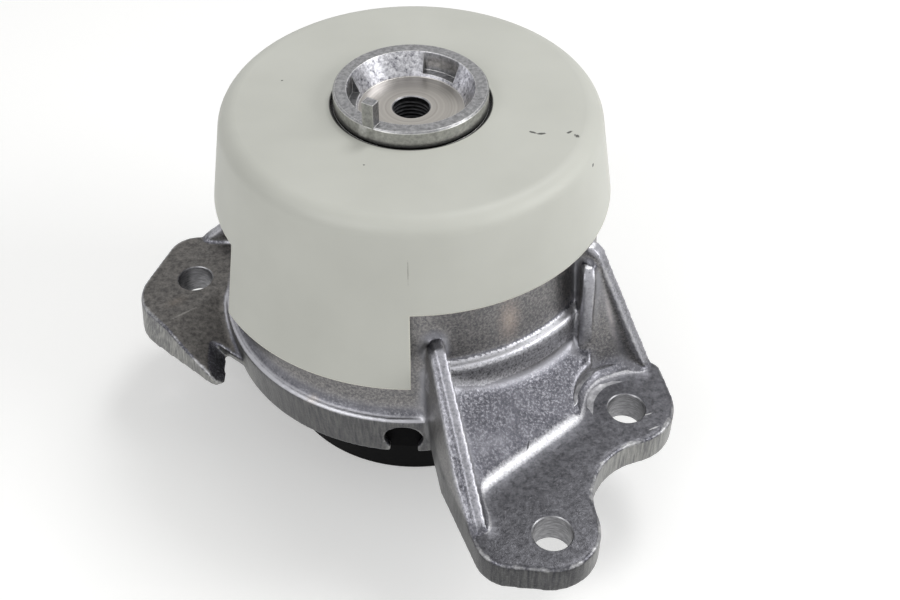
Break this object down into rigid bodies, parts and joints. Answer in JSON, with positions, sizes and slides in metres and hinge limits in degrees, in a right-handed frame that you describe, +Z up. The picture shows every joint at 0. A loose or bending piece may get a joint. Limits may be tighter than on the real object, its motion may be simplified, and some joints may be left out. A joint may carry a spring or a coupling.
{
  "type": "hydraulic engine mount",
  "caption": "Hydraulic engine mount: a die-cast pot with ribbed bolt lugs under a flared cap, a threaded core on a hidden rubber spring, and a round base cup.",
  "frame": {"origin": "centre of the base cup's flat bottom, on the axis of the mount", "axes": "+Z up along the axis of the mount, towards the threaded core; -Y towards the front lug and +X towards the right lug of the bracket"},
  "size_m": [0.166, 0.1723, 0.1247],
  "materials": {
    "cast_aluminium": "rough die-cast, mottled grey",
    "core_aluminium": "cast, with a turned seat",
    "cap_plastic": "pale grey, matte, scuffed",
    "cup_plastic": "black, matte",
    "channel_aluminium": "plain die-cast",
    "zinc_steel": "zinc plated",
    "rubber": "black, matte"
  },
  "bodies": {
    "root": {"housing_bracket": "cast_aluminium", "core": "core_aluminium", "heat_shield_cap": "cap_plastic", "base_cup": "cup_plastic", "spring_ring": "zinc_steel", "main_spring": "rubber", "rebound_buffer": "rubber", "stop_ring": "zinc_steel", "bellows": "rubber", "bellows_ring": "zinc_steel", "lower_channel_plate": "channel_aluminium", "upper_channel_plate": "channel_aluminium", "decoupler_membrane": "rubber", "channel_seal": "rubber"}
  },
  "joints": []
}
